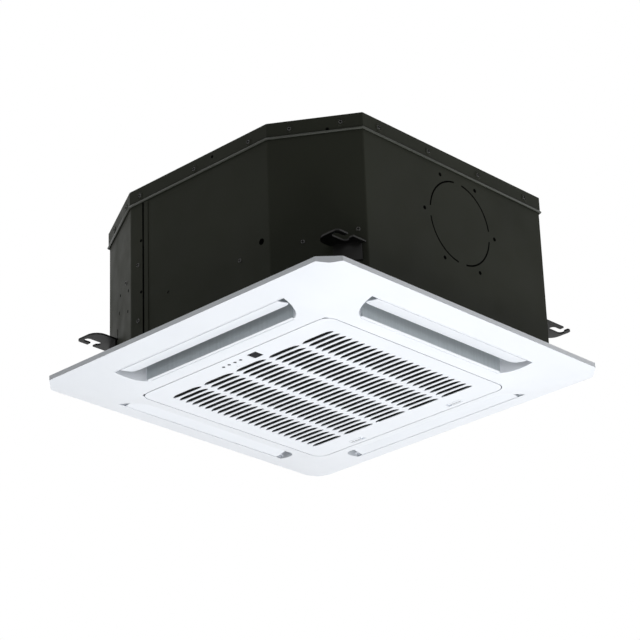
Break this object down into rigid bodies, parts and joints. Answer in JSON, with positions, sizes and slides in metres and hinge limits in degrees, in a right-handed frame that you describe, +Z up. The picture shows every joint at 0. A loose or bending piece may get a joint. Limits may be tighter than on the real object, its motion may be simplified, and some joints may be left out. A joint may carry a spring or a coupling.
{
  "type": "ceiling cassette air conditioner",
  "caption": "Ceiling cassette air conditioner: eight-sided black casing with slotted hanger brackets over a square white panel with a slotted intake grille and a tilting flap on each side.",
  "frame": {"origin": "centre of the panel, in the plane of the ceiling that the panel's rim closes against", "axes": "+Z up; +X away from the grille's hinge, towards its latches; +Y along the hinge, away from the fresh-air knockout"},
  "size_m": [0.647, 0.647, 0.3157],
  "materials": {
    "black_sheet": "satin black paint on steel sheet",
    "black_steel": "semi-gloss black paint on steel plate",
    "foam_white": "closed-cell insulation foam",
    "foam_dark": "moulded polystyrene foam with a dark lining",
    "fins": "aluminium fins on copper tube",
    "zinc_steel": "galvanised steel",
    "copper": "drawn copper tube",
    "brass": "forged brass",
    "dark_plastic": "black ABS",
    "board": "green solder mask",
    "panel_white": "white ABS, semi-gloss",
    "duct_grey": "grey ABS",
    "gear_white": "natural acetal",
    "lens": "smoked acrylic",
    "gloss_black": "dark infrared window",
    "rubber": "black rubber"
  },
  "bodies": {
    "unit": {"top_cover": "black_sheet", "near_side_sheet": "black_sheet", "left_corner_sheet": "black_sheet", "far_side_sheet": "black_sheet", "right_corner_sheet": "black_sheet", "hanger_bracket_1": "black_steel", "hanger_bracket_2": "black_steel", "hanger_bracket_3": "black_steel", "hanger_bracket_4": "black_steel", "foam_liner": "foam_white", "drain_pan": "foam_dark", "heat_exchanger": "fins", "coil_end_plate_1": "zinc_steel", "coil_end_plate_2": "zinc_steel", "fan_motor": "zinc_steel", "motor_bracket": "zinc_steel", "control_box": "zinc_steel", "control_box_cover": "zinc_steel", "swing_motor": "zinc_steel", "gas_pipe": "copper", "liquid_pipe": "copper", "gas_flare_nut": "brass", "liquid_flare_nut": "brass", "drain_pump": "dark_plastic", "drain_socket": "dark_plastic", "float_switch": "dark_plastic", "bell_mouth": "dark_plastic", "terminal_block": "dark_plastic", "cable_grommet": "rubber", "control_board": "board", "panel_frame": "panel_white", "air_duct_1": "duct_grey", "air_duct_2": "duct_grey", "air_duct_3": "duct_grey", "air_duct_4": "duct_grey"},
    "fan": {"impeller": "dark_plastic", "motor_shaft": "zinc_steel", "fan_lock_nut": "zinc_steel"},
    "flap_1": {"flap_1": "panel_white", "mitre_gear_1_end": "gear_white"},
    "flap_2": {"flap_2": "panel_white", "mitre_gear_2_start": "gear_white", "mitre_gear_2_end": "gear_white"},
    "flap_3": {"flap_3": "panel_white", "mitre_gear_3_start": "gear_white", "mitre_gear_3_end": "gear_white"},
    "flap_4": {"flap_4": "panel_white", "mitre_gear_4_start": "gear_white"},
    "grille": {"grille": "panel_white", "display_housing": "dark_plastic", "light_guide": "lens", "receiver_window": "gloss_black"},
    "air_filter": {"air_filter": "dark_plastic"},
    "push_button": {"push_button": "panel_white"},
    "latch_1": {"latch_1": "panel_white"},
    "latch_2": {"latch_2": "panel_white"},
    "float_ring": {"float_ring": "foam_white"}
  },
  "joints": [
    {"name": "fan_spin", "type": "hinge", "parent": "unit", "child": "fan", "pos_m": [0, 0, 0.18], "axis": [0, 0, 1], "continuous": true},
    {"name": "flap_1_tilt", "type": "hinge", "parent": "unit", "child": "flap_1", "pos_m": [-0.2768, 0, -0.0105], "axis": [0, -1, 0], "range_deg": [-23, 25]},
    {"name": "flap_2_tilt", "type": "hinge", "parent": "unit", "child": "flap_2", "pos_m": [0, -0.2768, -0.0105], "axis": [1, 0, 0], "range_deg": [-23, 25]},
    {"name": "flap_3_tilt", "type": "hinge", "parent": "unit", "child": "flap_3", "pos_m": [0.2768, 0, -0.0105], "axis": [0, 1, 0], "range_deg": [-23, 25]},
    {"name": "flap_4_tilt", "type": "hinge", "parent": "unit", "child": "flap_4", "pos_m": [0, 0.2768, -0.0105], "axis": [-1, 0, 0], "range_deg": [-23, 25]},
    {"name": "grille_drop", "type": "hinge", "parent": "unit", "child": "grille", "pos_m": [-0.2052, 0, -0.0278], "axis": [0, 1, 0], "range_deg": [0, 85]},
    {"name": "filter_lift", "type": "slide", "parent": "grille", "child": "air_filter", "axis": [0, 0, 1], "range_m": [0, 0.01]},
    {"name": "button_press", "type": "slide", "parent": "grille", "child": "push_button", "axis": [0, 0, 1], "range_m": [0, 0.0015], "stiffness_N_per_m": 400, "springref_m": -0.001},
    {"name": "latch_1_slide", "type": "slide", "parent": "grille", "child": "latch_1", "axis": [0, -1, 0], "range_m": [0, 0.006], "stiffness_N_per_m": 200, "springref_m": -0.002},
    {"name": "latch_2_slide", "type": "slide", "parent": "grille", "child": "latch_2", "axis": [0, 1, 0], "range_m": [0, 0.006], "stiffness_N_per_m": 200, "springref_m": -0.002},
    {"name": "float_rise", "type": "slide", "parent": "unit", "child": "float_ring", "axis": [0, 0, 1], "range_m": [0, 0.014]}
  ],
  "couplings": [
    {"joint": "flap_2_tilt", "follows": "flap_1_tilt", "ratio": 1},
    {"joint": "flap_3_tilt", "follows": "flap_1_tilt", "ratio": 1},
    {"joint": "flap_4_tilt", "follows": "flap_1_tilt", "ratio": 1}
  ]
}
